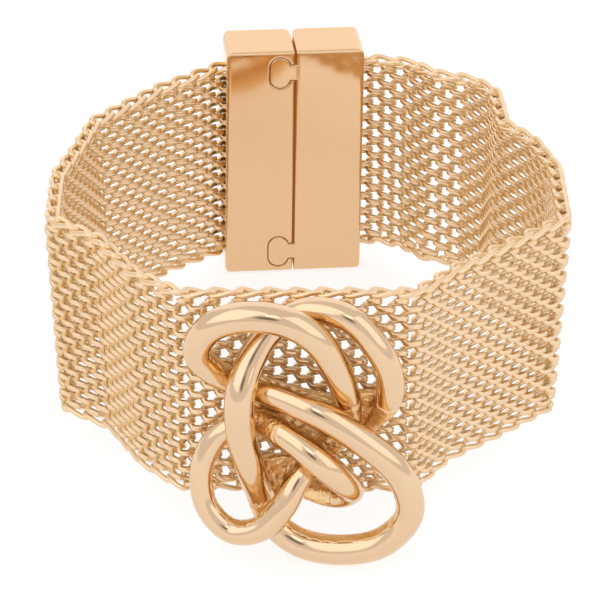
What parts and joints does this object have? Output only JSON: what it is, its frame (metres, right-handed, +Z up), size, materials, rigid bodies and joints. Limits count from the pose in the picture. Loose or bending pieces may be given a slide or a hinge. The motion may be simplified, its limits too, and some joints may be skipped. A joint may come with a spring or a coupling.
{
  "type": "magnetic bracelet",
  "caption": "Wide woven metal bracelet with a knot of round rod on the front and a two-part magnetic box clasp at the back.",
  "frame": {"origin": "middle of the bracelet's footprint, at the height of the surface it stands on", "axes": "+Z up, across the band's width; the knot faces -Y and the clasp is at +Y; +X is to the right as the knot is looked at"},
  "size_m": [0.0588, 0.0732, 0.0336],
  "materials": {
    "woven_gold": "fine woven wire, rose gold plated, bright on the crests and darker in the hollows",
    "polished_gold": "polished rose gold plate with softened edges",
    "cast_gold": "cast round rod, polished on the crests, rough and darker where the rods run together",
    "plain_gold": "plain plated metal, out of sight"
  },
  "bodies": {
    "root": {"mesh_band": "woven_gold", "clasp_socket_half": "polished_gold", "clasp_tab_half": "polished_gold", "knot": "cast_gold", "knot_post": "plain_gold"}
  },
  "joints": []
}
